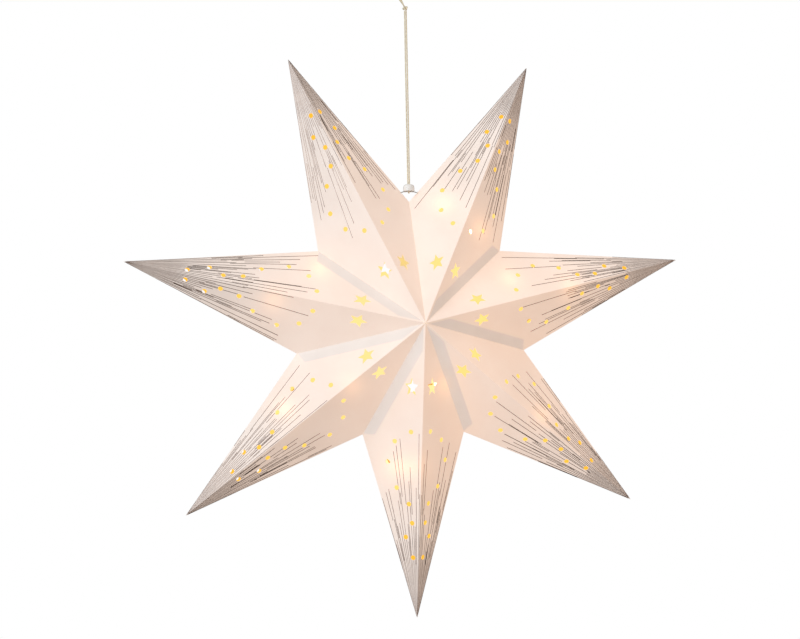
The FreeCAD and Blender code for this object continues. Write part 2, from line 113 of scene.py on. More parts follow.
CAMERA_AZIMUTH = math.radians(-13.2)
CAMERA_ELEVATION = math.radians(-1.88)
CAMERA_DISTANCE = 1.708
CAMERA_AIM = (-0.00683, 0.00361)  # turn of the view off the star's centre, right and up
CAMERA_ROLL = math.radians(-1.1)
CAMERA_LENS = 74.6


def make_camera():
    """Stands in front of the star, a little to its left and below its middle."""
    back = Vector(
        (
            math.sin(CAMERA_AZIMUTH) * math.cos(CAMERA_ELEVATION),
            -math.cos(CAMERA_AZIMUTH) * math.cos(CAMERA_ELEVATION),
            math.sin(CAMERA_ELEVATION),
        )
    )
    up = Vector((0, 0, 1))
    right = (-back).cross(up).normalized()
    forward = -back + right * CAMERA_AIM[0] + right.cross(-back) * CAMERA_AIM[1]
    forward.normalize()
    right = forward.cross(up).normalized()
    level_up = right.cross(forward)
    rolled_right = right * math.cos(CAMERA_ROLL) + level_up * math.sin(CAMERA_ROLL)
    rolled_up = level_up * math.cos(CAMERA_ROLL) - right * math.sin(CAMERA_ROLL)
    turn = Matrix((rolled_right, rolled_up, -forward)).transposed()
    camera = bpy.data.objects.new("camera", bpy.data.cameras.new("camera"))
    camera.data.lens = CAMERA_LENS
    camera.data.clip_start = 0.01
    camera.matrix_world = Matrix.Translation(CENTRE + back * CAMERA_DISTANCE) @ turn.to_4x4()
    bpy.context.scene.collection.objects.link(camera)
    bpy.context.scene.camera = camera


make_camera()

# ---- material helpers


def fill_ramp(node, stops):
    """Gives a colour ramp node its (place, colour) stops."""
    elements = node.color_ramp.elements
    while len(elements) < len(stops):
        elements.new(0.5)
    for element, (place, colour) in zip(elements, stops):
        element.position = place
        element.color = (*colour, 1.0)


class Look:
    """A Principled material with short calls for the nodes that the pieces share."""

    def __init__(self, name):
        self.material = bpy.data.materials.new(name)
        self.material.use_nodes = True
        self.nodes = self.material.node_tree.nodes
        self.links = self.material.node_tree.links
        self.shader = self.nodes["Principled BSDF"]
        self.place = self.nodes.new("ShaderNodeTexCoord").outputs["Object"]

    def set(self, **values):
        """Sets the shader's own sockets; an underscore stands for a space."""
        for name, value in values.items():
            self.shader.inputs[name.replace("_", " ")].default_value = value
        return self

    def plug(self, socket, output):
        """Feeds one of the shader's sockets from a node."""
        self.links.new(output, self.shader.inputs[socket])

    def math(self, operation, first, second=0.0):
        """The result of a math node on two values or outputs."""
        node = self.nodes.new("ShaderNodeMath")
        node.operation = operation
        for socket, value in zip(node.inputs, (first, second)):
            if isinstance(value, (int, float)):
                socket.default_value = value
            else:
                self.links.new(value, socket)
        return node.outputs[0]

    def noise(self, scale, detail=3.0, stretch=(1, 1, 1)):
        """A noise value over the piece; scale is in turns a metre."""
        mapping = self.nodes.new("ShaderNodeMapping")
        mapping.inputs["Scale"].default_value = stretch
        self.links.new(self.place, mapping.inputs["Vector"])
        node = self.nodes.new("ShaderNodeTexNoise")
        node.inputs["Scale"].default_value = scale
        node.inputs["Detail"].default_value = detail
        self.links.new(mapping.outputs["Vector"], node.inputs["Vector"])
        return node.outputs["Fac"]

    def ramp(self, value, stops):
        """A colour ramp over (place, colour) stops."""
        node = self.nodes.new("ShaderNodeValToRGB")
        fill_ramp(node, stops)
        self.links.new(value, node.inputs["Fac"])
        return node.outputs["Color"]

    def colour(self, light, dark, scale):
        """Drifts the base colour between two close shades."""
        self.plug("Base Color", self.ramp(self.noise(scale), ((0.35, dark), (0.65, light))))
        return self

    def roughness(self, low, high, scale):
        """Drifts the roughness between two values."""
        self.plug("Roughness", self.scaled(self.noise(scale), high - low, low))
        return self

    def bump(self, value, distance, strength=1.0):
        """Raises the surface by a value times a distance."""
        node = self.nodes.new("ShaderNodeBump")
        node.inputs["Distance"].default_value = distance
        node.inputs["Strength"].default_value = strength
        self.links.new(value, node.inputs["Height"])
        self.plug("Normal", node.outputs["Normal"])
        return self

    def glow(self, colour, amount):
        """Lights the surface with a colour times a value that varies over it."""
        node = self.nodes.new("ShaderNodeVectorMath")
        node.operation = "SCALE"
        if isinstance(colour, tuple):
            node.inputs[0].default_value = colour
        else:
            self.links.new(colour, node.inputs[0])
        self.links.new(amount, node.inputs["Scale"])
        self.plug("Emission Color", node.outputs[0])
        self.shader.inputs["Emission Strength"].default_value = 1.0
        self.material.cycles.emission_sampling = "NONE"
        return self

    def distance(self, place, depth=1.0):
        """How far the surface is from a place, with the star's depth counted only in part."""
        squeeze = self.nodes.new("ShaderNodeVectorMath")
        squeeze.operation = "MULTIPLY"
        squeeze.inputs[1].default_value = (1, depth, 1)
        self.links.new(self.place, squeeze.inputs[0])
        node = self.nodes.new("ShaderNodeVectorMath")
        node.operation = "DISTANCE"
        node.inputs[1].default_value = (place.x, place.y * depth, place.z)
        self.links.new(squeeze.outputs[0], node.inputs[0])
        return node.outputs["Value"]

    def nearness(self, lamps, reach, power, depth=1.0):
        """The sum over the lamps of a value that is 1 at each lamp and falls off around it."""
        total = None
        for lamp in lamps:
            ratio = self.math("DIVIDE", self.distance(lamp, depth), reach)
            spread = self.math("ADD", self.math("MULTIPLY", ratio, ratio), 1.0)
            share = self.math("POWER", spread, -power)
            total = share if total is None else self.math("ADD", total, share)
        return total

    def scaled(self, value, factor, offset=0.0):
        """The value times a factor, plus an offset."""
        node = self.math("MULTIPLY_ADD", value, factor).node
        node.inputs[2].default_value = offset
        return node.outputs[0]


# ---- the light string's route

GLAND_X = 13.0
GLAND_TOP = 80.0
LIGHT_ROUTE = (
    (GLAND_X, 0, GLAND_TOP), (14, 0, 96), (22, 1, 114), (42, 3, 132),
    (66, 6, 116), (70, 5, 80), (80, 3, 48), (118, 4, 42),
    (160, 8, 50), (168, 8, 24), (132, 4, 8), (96, 2, -14),
    (108, 4, -56), (138, 7, -86), (122, 7, -106), (96, 4, -88),
    (44, 2, -62), (8, 0, -60), (0, 2, -88), (4, 6, -118),
    (0, 7, -138), (-14, 8, -150), (-28, 7, -138), (-34, 4, -112),
    (-38, 2, -82), (-54, 0, -54), (-88, 4, -66), (-116, 6, -90),
    (-134, 7, -91), (-136, 6, -76), (-112, 5, -54), (-96, 2, -28),
    (-104, 4, 8), (-138, 8, 20), (-154, 8, 34), (-150, 8, 50),
    (-116, 4, 57), (-80, 2, 58),
)
# runs of the route that carry a light at their middle
LIT_RUNS = (2, 4, 6, 8, 13, 16, 20, 21, 25, 28, 33, 36)

route = [CENTRE + Vector(place) * MM for place in LIGHT_ROUTE]
lamps = [(route[run] + route[run + 1]) / 2 for run in LIT_RUNS]

# ---- materials

WARM = (1.0, 0.45, 0.16)
GLOW_CENTRE = CENTRE + Vector((50, 0, -25)) * MM
GLOW_REACH = 260 * MM
SPOT_REACH = 11 * MM  # of the bright spot that a light makes on the card
SPOT_DEPTH = 0.22  # how much of the depth between a light and the card counts
FALL_OFF = 1.6


def card_look(name, share):
    """The card's matt outer face, with the share of the inside light that comes through it."""
    look = Look(name).set(Specular_IOR_Level=0.35)
    look.colour((0.88, 0.865, 0.85), (0.83, 0.815, 0.80), 24)
    look.roughness(0.62, 0.8, 200)
    unevenness = look.math("MULTIPLY", look.noise(90, 2.0), 2.0)
    look.bump(look.math("ADD", look.noise(1500, 4.0), unevenness), 0.00012, 0.55)
    hot = look.scaled(look.nearness(lamps, SPOT_REACH, FALL_OFF, SPOT_DEPTH), 0.50)
    cloud = look.scaled(look.noise(11, 1.0), 0.10, -0.05)
    broad = look.scaled(look.nearness([GLOW_CENTRE], GLOW_REACH, 1.0), 0.31)
    light = look.math("ADD", look.math("ADD", hot, broad), cloud)
    return look.glow(WARM, look.scaled(light, share)).material


def lit_inside_look():
    """The card's inner face, which the lights fill with yellow light."""
    look = Look("card_inside").set(Roughness=0.85)
    look.colour((0.22, 0.18, 0.11), (0.18, 0.145, 0.09), 40)
    near = look.nearness(lamps, 24 * MM, FALL_OFF)
    outward = look.scaled(look.distance(CENTRE), 1.0 / STAR_RADIUS)
    shade = look.ramp(
        look.math("SUBTRACT", outward, look.scaled(near, 0.3)),
        (
            (0.05, (1.0, 0.84, 0.50)),
            (0.25, (1.0, 0.74, 0.26)),
            (0.50, (1.0, 0.65, 0.13)),
            (0.75, (1.0, 0.54, 0.05)),
            (1.0, (0.95, 0.43, 0.03)),
        ),
    )
    return look.glow(shade, look.scaled(near, 0.1, 0.90)).material


def foil_look():
    """Hot-stamped metal foil, between silver and bronze."""
    look = Look("foil").set(Metallic=1.0)
    look.colour((0.36, 0.225, 0.175), (0.20, 0.115, 0.09), 60)
    look.roughness(0.24, 0.42, 500)
    return look.bump(look.noise(2200), 0.00002).material


def cord_look():
    """Fine twisted cord with a gold thread's sheen."""
    look = Look("twisted_thread").set(Sheen_Weight=0.35, Sheen_Roughness=0.4, Metallic=0.15)
    look.colour((0.96, 0.88, 0.70), (0.78, 0.67, 0.47), 900)
    look.roughness(0.42, 0.62, 600)
    return look.bump(look.noise(5200, 2.0, (1, 1, 0.35)), 0.00006).material


def plastic_look(name, light, dark, low, high, grain=1800, depth=0.00002):
    """Moulded plastic or felt with a fine grain."""
    look = Look(name)
    look.colour(light, dark, 120)
    look.roughness(low, high, 260)
    return look.bump(look.noise(grain), depth).material


def metal_look(name, light, dark, low, high, stretch=(1, 1, 1)):
    """Metal, or a thin coat over it, with faint marks."""
    look = Look(name).set(Metallic=0.8)
    look.colour(light, dark, 300)
    look.roughness(low, high, 900)
    return look.bump(look.noise(1600, 2.0, stretch), 0.00001).material


def bead_look():
    """A clear resin drop, lit through by the small lamp in it."""
    look = Look("lit_drop").set(Coat_Weight=0.6, Coat_Roughness=0.1, Roughness=0.2)
    look.colour((1.0, 0.93, 0.80), (1.0, 0.86, 0.66), 400)
    return look.glow((1.0, 0.86, 0.58), look.scaled(look.noise(500), 1.5, 3.2)).material


def board_look():
    """Green solder mask with faint copper tracks under it."""
    look = Look("circuit_board").set(Roughness=0.35, Coat_Weight=0.4)
    tracks = look.noise(420, 0.0, (1, 1, 3))
    green = ((0.47, (0.02, 0.16, 0.07)), (0.5, (0.05, 0.30, 0.14)), (0.53, (0.02, 0.16, 0.07)))
    look.plug("Base Color", look.ramp(tracks, green))
    return look.bump(tracks, 0.00003).material


card = card_look("card_face", 1.0)
# Over a glue flap the card gets less of the painted inside glow: painted shade standing in for the flap's
# shadow seen through the card.
card_painted_flap_shadow = card_look("card_painted_flap_shadow", 0.42)
lit_inside = lit_inside_look()
foil = foil_look()
thread = cord_look()
closure_felt = plastic_look("hook_and_loop", (0.92, 0.92, 0.9), (0.8, 0.8, 0.79), 0.8, 0.95, 2600, 0.0004)
white_gloss = plastic_look("white_gloss", (0.93, 0.93, 0.92), (0.89, 0.89, 0.88), 0.16, 0.28)
case_satin = plastic_look("case_satin", (0.86, 0.855, 0.83), (0.80, 0.795, 0.77), 0.38, 0.52, 2400, 0.00005)
switch_black = plastic_look("switch_black", (0.030, 0.030, 0.033), (0.016, 0.016, 0.018), 0.4, 0.55)
wire_skin = metal_look("copper_in_clear_skin", (0.90, 0.66, 0.42), (0.72, 0.47, 0.27), 0.22, 0.4)
bright_steel = metal_look("bright_steel", (0.90, 0.89, 0.87), (0.78, 0.77, 0.75), 0.35, 0.5)
nickel = metal_look("nickel", (0.80, 0.78, 0.72), (0.68, 0.66, 0.60), 0.2, 0.38)
cell_print = metal_look("cell_jacket", (0.34, 0.40, 0.46), (0.24, 0.29, 0.35), 0.3, 0.44, (1, 1, 0.1))
lit_drop = bead_look()

# ---- mesh helpers


def new_piece(name, verts, faces, materials, marks=None, smooth=False, weld=False):
    """A mesh piece; marks gives each face's place in materials, weld joins doubled places."""
    mesh = bpy.data.meshes.new(name)
    mesh.from_pydata(verts, [], faces)
    for material in materials:
        mesh.materials.append(material)
    if marks:
        mesh.polygons.foreach_set("material_index", marks)
    builder = bmesh.new()
    builder.from_mesh(mesh)
    bmesh.ops.recalc_face_normals(builder, faces=builder.faces)
    if weld:
        bmesh.ops.remove_doubles(builder, verts=builder.verts, dist=0.001 * MM)
    builder.to_mesh(mesh)
    builder.free()
    mesh.polygons.foreach_set("use_smooth", [smooth] * len(mesh.polygons))
    piece = bpy.data.objects.new(name, mesh)
    bpy.context.scene.collection.objects.link(piece)
    return piece


class Shell:
    """A sheet of card, as pairs of an outer and an inner vertex, closed along its open edges."""

    def __init__(self):
        self.outer = []
        self.inner = []
        self.faces = []
        self.marks = []

    def add(self, outer, inner):
        self.outer.append(outer)
        self.inner.append(inner)
        return len(self.outer) - 1

    def face(self, corners, mark=0):
        self.faces.append(tuple(corners))
        self.marks.append(mark)

    def piece(self, name, materials, inner_mark):
        """Closes the sheet: outer faces, the same faces inside, and walls at open edges."""
        count = len(self.outer)
        sides = {}
        for face in self.faces:
            for a, b in zip(face, face[1:] + face[:1]):
                key = (min(a, b), max(a, b))
                sides[key] = None if key in sides else (a, b)
        faces = list(self.faces)
        marks = list(self.marks)
        for face in self.faces:
            faces.append(tuple(i + count for i in reversed(face)))
            marks.append(inner_mark)
        for side in filter(None, sides.values()):
            a, b = side
            faces.append((b, a, a + count, b + count))
            marks.append(0)
        return new_piece(name, self.outer + self.inner, faces, materials, marks)


def turns(steps):
    """The angles of even steps round a full turn."""
    return [2 * math.pi * i / steps for i in range(steps)]


def flat_heading(turn):
    return Vector((math.cos(turn), math.sin(turn)))


def around(side, other, turn):
    """The direction at an angle from one side direction towards another."""
    return side * math.cos(turn) + other * math.sin(turn)


def ring_faces(first, rings, steps, closed=False):
    """Quads between rings of vertices numbered from first, and back round if closed."""
    count = rings * steps
    faces = []
    for ring in range(0, count if closed else count - steps, steps):
        a = first + ring
        b = first + (ring + steps) % count
        for i in range(steps):
            j = (i + 1) % steps
            faces.append((a + i, a + j, b + j, b + i))
    return faces


def between(start, end, count):
    """Evenly spaced places from start to end, both included."""
    return [start.lerp(end, i / count) for i in range(count + 1)]


def inside(place, outline):
    """Whether a flat place lies in a closed outline."""
    found = False
    for a, b in zip(outline, outline[1:] + outline[:1]):
        if (a.y > place.y) != (b.y > place.y):
            if place.x < a.x + (b.x - a.x) * (place.y - a.y) / (b.y - a.y):
                found = not found
    return found


def off_line(place, a, b):
    """How far a flat place is from the stretch from a to b."""
    run = b - a
    share = max(0.0, min(1.0, (place - a).dot(run) / run.length_squared))
    return (place - a - run * share).length


# ---- the star's layout


def point_lean(number):
    """How far the last point leans towards the seam, in degrees."""
    return LAST_POINT_LEAN if number == POINT_COUNT else 0.0


def point_turn(number):
    """The angle of a point from +X; points count clockwise from the seam at the top."""
    return math.radians(90.0 - PITCH * (number - 0.5) - point_lean(number))


def radial(turn):
    return Vector((math.cos(turn), 0, math.sin(turn)))


class Facet:
    """One flat triangle of card. Its flat layout is in millimetres, u along the ridge."""

    def __init__(self, number, front, side):
        turn = point_turn(number)
        half_angle = math.radians(PITCH / 2 + side * point_lean(number))
        at_seam = (number, side) in ((1, 1), (POINT_COUNT, -1))
        valley_radius = SEAM_VALLEY_RADIUS if at_seam else VALLEY_RADIUS
        self.over_flap = side == -1 and number < POINT_COUNT
        self.apex = CENTRE + Vector((0, -front * HALF_DEPTH, 0))
        self.tip = CENTRE + radial(turn) * STAR_RADIUS
        self.valley = CENTRE + radial(turn + side * half_angle) * valley_radius
        self.along = (self.tip - self.apex).normalized()
        off = self.valley - self.apex
        self.across = (off - self.along * off.dot(self.along)).normalized()
        self.outward = self.along.cross(self.across)
        if self.outward.dot(self.apex - CENTRE) < 0:
            self.outward.negate()
        self.flat_tip = Vector(((self.tip - self.apex).length, 0)) / MM
        self.flat_valley = Vector((off.dot(self.along), off.dot(self.across))) / MM
        self.edge = self.flat_valley.normalized()
        self.inward = Vector((self.edge.y, -self.edge.x))
        self.tip_angle = math.atan2(self.flat_valley.y, self.flat_tip.x - self.flat_valley.x)

    def at(self, place, lift=0.0):
        """The place in the frame of a flat place, raised off the card by lift metres."""
        along = self.along * (place[0] * MM)
        return self.apex + along + self.across * (place[1] * MM) + self.outward * lift

    def beside_valley(self, start, end, width, taper, inset=0.0):
        """The flat outline of a strip beside the valley, slanted in at both ends."""
        foot = self.inward * inset
        return [
            foot + self.edge * start,
            foot + self.edge * end,
            foot + self.edge * (end - taper * OUTER_SLANT) + self.inward * width,
            foot + self.edge * (start + taper) + self.inward * width,
        ]

    def flap_outline(self, inset=0.0):
        """The glue flap under this facet, from near the apex to near the rim."""
        end = self.flat_valley.length - FLAP_END_GAP
        return self.beside_valley(FLAP_START, end, FLAP_WIDTH, FLAP_TAPER, inset)


def cutout_outline():
    """The five-pointed star cut out of a facet, stretched along the ridge."""
    corners = []
    for i in range(10):
        radius = CUTOUT_RADIUS if i % 2 == 0 else CUTOUT_INNER_RADIUS
        turn = math.pi + i * math.pi / 5
        reach = Vector((CUTOUT_STRETCH * math.cos(turn), math.sin(turn))) * radius
        corners.append(Vector(CUTOUT_PLACE) + reach)
    return corners


def dot_outline(place):
    return [Vector(place) + flat_heading(turn) * DOT_RADIUS for turn in turns(DOT_STEPS)]


FRONT_AND_BACK = (1, -1)
BOTH_SIDES = (1, -1)
RIDGE_ROUND = 0.5  # reach of a fold's rounding onto its facets
RIM_ROUND = 0.7
RIDGE_STEPS = 44
RIM_STEPS = 28
VALLEY_STEPS = 20
FOLD_STEPS = 4
DOT_STEPS = 24
GRID = 8.0
VALLEY_GAP = 0.02  # between two points, on each side of their shared valley


def facet_corners(facet):
    """The corners of the flat part of a facet, between the roundings of its folds."""
    tip, valley = facet.flat_tip, facet.flat_valley
    rim = (valley - tip).normalized()
    rim_inward = Vector((rim.y, -rim.x))
    if rim_inward.dot(-valley) < 0:
        rim_inward.negate()
    to_apex = -facet.edge
    clear = facet.inward * VALLEY_GAP
    near_apex = valley * (RIDGE_ROUND / valley.y) + clear
    turn = facet.tip_angle
    rise = (RIM_ROUND + RIDGE_ROUND * math.cos(turn)) / math.sin(turn)
    near_tip = Vector((tip.x - rise, RIDGE_ROUND))
    near_valley = valley + to_apex * (RIM_ROUND / to_apex.dot(rim_inward)) + clear
    return near_apex, near_tip, near_valley, rim_inward


def lay_facet(shell, facet):
    """Adds the flat part of a facet, punched, and gives the vertices along its two folds."""
    near_apex, near_tip, near_valley, rim_inward = facet_corners(facet)
    ridge = between(near_apex, near_tip, RIDGE_STEPS)
    rim = between(near_tip, near_valley, RIM_STEPS)
    valley = between(near_valley, near_apex, VALLEY_STEPS)
    outline = ridge[:-1] + rim[:-1] + valley[:-1]
    dots = [dot_outline(place) for place in DOT_PLACES]
    cutout = cutout_outline()
    flap_shadow_band = facet.flap_outline() if facet.over_flap else []

    places = []
    edges = []
    for loop in [outline, cutout, *dots] + ([flap_shadow_band] if flap_shadow_band else []):
        first = len(places)
        places += loop
        edges += [(first + i, first + (i + 1) % len(loop)) for i in range(len(loop))]
    lines = [(places[a], places[b]) for a, b in edges]
    row_height = GRID * math.sqrt(3) / 2
    for row in range(1, int(facet.flat_valley.y / row_height) + 1):
        for column in range(int(facet.flat_tip.x / GRID) + 1):
            place = Vector(((column + 0.5 * (row % 2)) * GRID, row * row_height))
            if inside(place, outline) and min(off_line(place, a, b) for a, b in lines) > GRID * 0.4:
                places.append(place)

    flat, _, triangles, sources, _, _ = delaunay_2d_cdt(places, edges, [], 1, 1e-5)
    number_of = {}
    numbers = []
    for place, source in zip(flat, sources):
        number = shell.add(facet.at(place), facet.at(place, -CARD))
        numbers.append(number)
        number_of.update({i: number for i in source})
    for triangle in triangles:
        middle = (flat[triangle[0]] + flat[triangle[1]] + flat[triangle[2]]) / 3
        punched = any((middle - Vector(place)).length < DOT_RADIUS for place in DOT_PLACES)
        if punched or inside(middle, cutout):
            continue
        # Faces over a glue flap take the second card material, whose weaker glow is painted shade for the
        # flap's shadow.
        mark = 1 if flap_shadow_band and inside(middle, flap_shadow_band) else 0
        shell.face([numbers[i] for i in triangle], mark)
    ridge_numbers = [number_of[i] for i in range(RIDGE_STEPS + 1)]
    rim_numbers = [number_of[RIDGE_STEPS + i] for i in range(RIM_STEPS + 1)]
    rim_line = [place - rim_inward * RIM_ROUND for place in rim]
    return ridge_numbers, rim_numbers, rim_line


def lay_fold(shell, first, second, line, inner_line):
    """Rounds the fold between two rows of vertices. Gives the vertices across each station."""
    rows = []
    for a, b, outer_fold, inner_fold in zip(first, second, line, inner_line):
        row = [a]
        for step in range(1, FOLD_STEPS):
            t = step / FOLD_STEPS
            weights = ((1 - t) ** 2, 2 * t * (1 - t), t**2)
            corners = (
                (shell.outer[a], outer_fold, shell.outer[b]),
                (shell.inner[a], inner_fold, shell.inner[b]),
            )
            row.append(
                shell.add(*[sum((p * w for p, w in zip(c, weights)), Vector()) for c in corners])
            )
        rows.append(row + [b])
    for row, after in zip(rows, rows[1:]):
        for i in range(FOLD_STEPS):
            shell.face((row[i], row[i + 1], after[i + 1], after[i]))
    return rows


def inner_fold_line(line, first, second):
    """The fold line of the card's inner face under an outer one."""
    middle = (first.outward + second.outward).normalized()
    depth = CARD / middle.dot(first.outward)
    return [place - middle * depth for place in line]


def card_point(number):
    """One folded point of card: four facets and the rounded folds that join them."""
    shell = Shell()
    facets = {}
    laid = {}
    for front in FRONT_AND_BACK:
        for side in BOTH_SIDES:
            facets[front, side] = Facet(number, front, side)
            laid[front, side] = lay_facet(shell, facets[front, side])
    turn = point_turn(number)
    tip_ring = {}
    for front in FRONT_AND_BACK:
        left, right = facets[front, 1], facets[front, -1]
        numbers = (laid[front, 1][0], laid[front, -1][0])
        line = []
        for a, b in zip(*numbers):
            middle = (shell.outer[a] + shell.outer[b]) / 2
            line.append(left.apex + left.along * (middle - left.apex).dot(left.along))
        rows = lay_fold(shell, *numbers, line, inner_fold_line(line, left, right))
        depth = CARD / abs(left.outward.y)
        top = left.at((VALLEY_GAP * 3, 0))
        apex = shell.add(top, top + Vector((0, front * depth, 0)))
        for a, b in zip(rows[0], rows[0][1:]):
            shell.face((apex, a, b))
        tip_ring[front] = rows[-1]
    for side in BOTH_SIDES:
        near, far = facets[1, side], facets[-1, side]
        line = [near.at(place) for place in laid[1, side][2]]
        rows = lay_fold(
            shell, laid[1, side][1], laid[-1, side][1], line, inner_fold_line(line, near, far)
        )
        tip_ring["rim", side] = rows[0]
    inner_tip = facets[1, 1].tip - radial(turn) * (CARD / facets[1, 1].outward.dot(radial(turn)))
    tip = shell.add(facets[1, 1].tip, inner_tip)
    for ring in tip_ring.values():
        for a, b in zip(ring, ring[1:]):
            shell.face((a, b, tip))
    piece = shell.piece(f"star_point_{number}", [card, card_painted_flap_shadow, lit_inside], 2)
    if number in (1, POINT_COUNT):
        pierce(piece, 1 if number == 1 else -1)
    return piece


def settle(piece):
    """Applies a piece's modifiers to its mesh."""
    graph = bpy.context.evaluated_depsgraph_get()
    settled = bpy.data.meshes.new_from_object(piece.evaluated_get(graph), depsgraph=graph)
    settled.name = piece.name
    piece.modifiers.clear()
    piece.data = settled


def pierce(piece, side):
    """The hole in a point's outer fold that the hanger wire goes through."""
    wire = [Vector((side * x, 0, z)) * MM for x, z in WIRE_HOLE_LINE]
    steps = 20
    back = Vector((0, 1, 0))
    across = (wire[1] - wire[0]).normalized().cross(back)
    verts = []
    for end in wire:
        verts += [CENTRE + end + around(across, back, turn) * WIRE_HOLE_RADIUS for turn in turns(steps)]
    faces = [tuple(range(steps)), tuple(range(steps, 2 * steps))] + ring_faces(0, 2, steps)
    cutter = new_piece("wire_hole", verts, faces, [])
    cut = piece.modifiers.new("wire_hole", "BOOLEAN")
    cut.operation = "DIFFERENCE"
    cut.object = cutter
    settle(piece)
    bpy.data.objects.remove(cutter)


# ---- printed rays

RAY_COUNT = 13
RAY_WIDTH = 0.52
RAY_FILL = 0.40  # how much of its lane a ray fills near the tip
RAY_HEIGHT = 0.03 * MM
RAY_STEP = 0.0006 * MM  # between rays, so that crossing ones don't meet
RAY_ROOT = 0.08 * MM
RAY_SHARES = (0.025, 0.975)  # of the tip's angle, that rays keep within
RAY_LIMIT = 196.0
RAY_JITTER = 0.15
RAY_START = (0.8, 5.0)
SHORT_RAYS = 0.26
SHORT_AND_LONG_RAYS = 0.50
SHORT_RAY_END = (58, 104)
LONG_RAY_END = (104, 164)
BROKEN_RAY_END = (76, 132)
BROKEN_RAY_SHIFT = 0.34
EXTRA_RAYS = 7
DOT_MARGIN = 0.12
SHORTEST_RAY = 1.2


def clear_of_dots(tip, heading, start, end):
    """The stretches of a ray between start and end that don't cross a punched dot."""
    stretches = [(start, end)]
    for place in DOT_PLACES:
        off = Vector(place) - tip
        nearest = off.dot(heading)
        gap = math.sqrt(max(0.0, off.length_squared - nearest**2))
        reach = DOT_RADIUS + DOT_MARGIN
        if gap >= reach:
            continue
        half = math.sqrt(reach**2 - gap**2)
        low, high = nearest - half, nearest + half
        kept = []
        for a, b in stretches:
            kept += [(a, min(b, low))] if a < low else []
            kept += [(max(a, high), b)] if b > high else []
        stretches = kept
    return [(a, b) for a, b in stretches if b - a > SHORTEST_RAY]


def ray_plan(draw):
    """Rays of one facet, as (share of the tip's angle, start, end) from the tip outwards."""
    rays = []
    for i in range(RAY_COUNT):
        share = (i + 0.5 + draw.uniform(-RAY_JITTER, RAY_JITTER)) / RAY_COUNT
        start = draw.uniform(*RAY_START)
        kind = draw.random()
        if kind < SHORT_RAYS:
            rays.append((share, start, draw.uniform(*SHORT_RAY_END)))
        elif kind < SHORT_AND_LONG_RAYS:
            rays.append((share, start, draw.uniform(*LONG_RAY_END)))
        else:
            rest = draw.uniform(*BROKEN_RAY_END)
            rays.append((share, start, rest))
            shift = draw.choice((-BROKEN_RAY_SHIFT, BROKEN_RAY_SHIFT)) / RAY_COUNT
            begin = rest + draw.uniform(-18, 6)
            rays.append((share + shift, begin, begin + draw.uniform(44, 92)))
    for i in draw.sample(range(RAY_COUNT), EXTRA_RAYS):
        begin = draw.uniform(50, 140)
        rays.append(((i + 1.0) / RAY_COUNT, begin, begin + draw.uniform(18, 56)))
    return rays


def foil_strip(facet, heading, low, high, top):
    """One strip of foil, from low to high along a ray, as vertices in rings of four."""
    beside = Vector((heading.y, -heading.x))
    lane = RAY_FILL * facet.tip_angle / RAY_COUNT
    narrow = RAY_WIDTH / lane
    verts = []
    for station in [low, high] if low > narrow or high < narrow else [low, narrow, high]:
        half = min(RAY_WIDTH, lane * station) / 2
        for offset, lift in ((-half, top), (half, top), (half, -RAY_ROOT), (-half, -RAY_ROOT)):
            verts.append(facet.at(facet.flat_tip + heading * station + beside * offset, lift))
    return verts


def foil_rays(number):
    """The printed rays on all four facets of a point, each a thin raised strip of foil."""
    draw = random.Random(40 + number)
    verts = []
    faces = []
    for facet in [Facet(number, front, side) for front in FRONT_AND_BACK for side in BOTH_SIDES]:
        for order, (share, start, end) in enumerate(ray_plan(draw)):
            angle = facet.tip_angle * min(RAY_SHARES[1], max(RAY_SHARES[0], share))
            heading = Vector((-math.cos(angle), math.sin(angle)))
            top = RAY_HEIGHT + order * RAY_STEP
            for low, high in clear_of_dots(facet.flat_tip, heading, start, min(end, RAY_LIMIT)):
                first = len(verts)
                verts += foil_strip(facet, heading, low, high, top)
                last = len(verts) - 4
                faces += [tuple(range(first, first + 4)), tuple(range(last, last + 4))]
                faces += ring_faces(first, (len(verts) - first) // 4, 4)
    return new_piece(f"foil_rays_{number}", verts, faces, [foil])


# ---- flaps, tabs and dots


def card_strips(name, facets, outlines, depth):
    """Flat strips of card under their facets, depth metres below the outer face."""
    shell = Shell()
    for facet, outline in zip(facets, outlines):
        corners = []
        for a, b in zip(outline, outline[1:] + outline[:1]):
            corners += between(a, b, 6)[:-1]
        shell.face([shell.add(facet.at(p, -depth), facet.at(p, -depth - CARD)) for p in corners])
    return shell.piece(name, [lit_inside], 0)


def glue_flap(number):
    """The glue flaps between a point and the next."""
    facets = [Facet(number, front, -1) for front in FRONT_AND_BACK]
    outlines = [facet.flap_outline(STRIP_INSET) for facet in facets]
    return card_strips(f"flap_{number}", facets, outlines, CARD + 0.02 * MM)


def closing_tabs():
    """The last point's pair of tabs, which lie under the first across the seam."""
    facets = [Facet(1, front, 1) for front in FRONT_AND_BACK]
    strip = (TAB_START, TAB_START + TAB_LENGTH, FLAP_WIDTH, TAB_TAPER, STRIP_INSET)
    outlines = [facet.beside_valley(*strip) for facet in facets]
    return card_strips("seam_tabs", facets, outlines, CARD * 3)


def closure_dots(name, layer):
    """Round pads with softly domed edges, layer card thicknesses under the card."""
    steps = 32
    rings = ((0.0, 0.0), (0.96, 0.0), (1.0, 0.12), (1.0, 0.30), (0.94, 0.38), (0.0, 0.40))
    along = TAB_START + TAB_LENGTH * CLOSURE_DOT_PLACE[0]
    verts = []
    faces = []
    for front in FRONT_AND_BACK:
        facet = Facet(1, front, 1)
        middle = facet.edge * along + facet.inward * (FLAP_WIDTH * CLOSURE_DOT_PLACE[1])
        faces += ring_faces(len(verts), len(rings), steps)
        for share, height in rings:
            for turn in turns(steps):
                off = flat_heading(turn) * (share * CLOSURE_DOT_RADIUS)
                verts.append(facet.at(middle + off, -layer * CARD - height * MM))
    return new_piece(name, verts, faces, [closure_felt], weld=True)


# ---- cords and wires


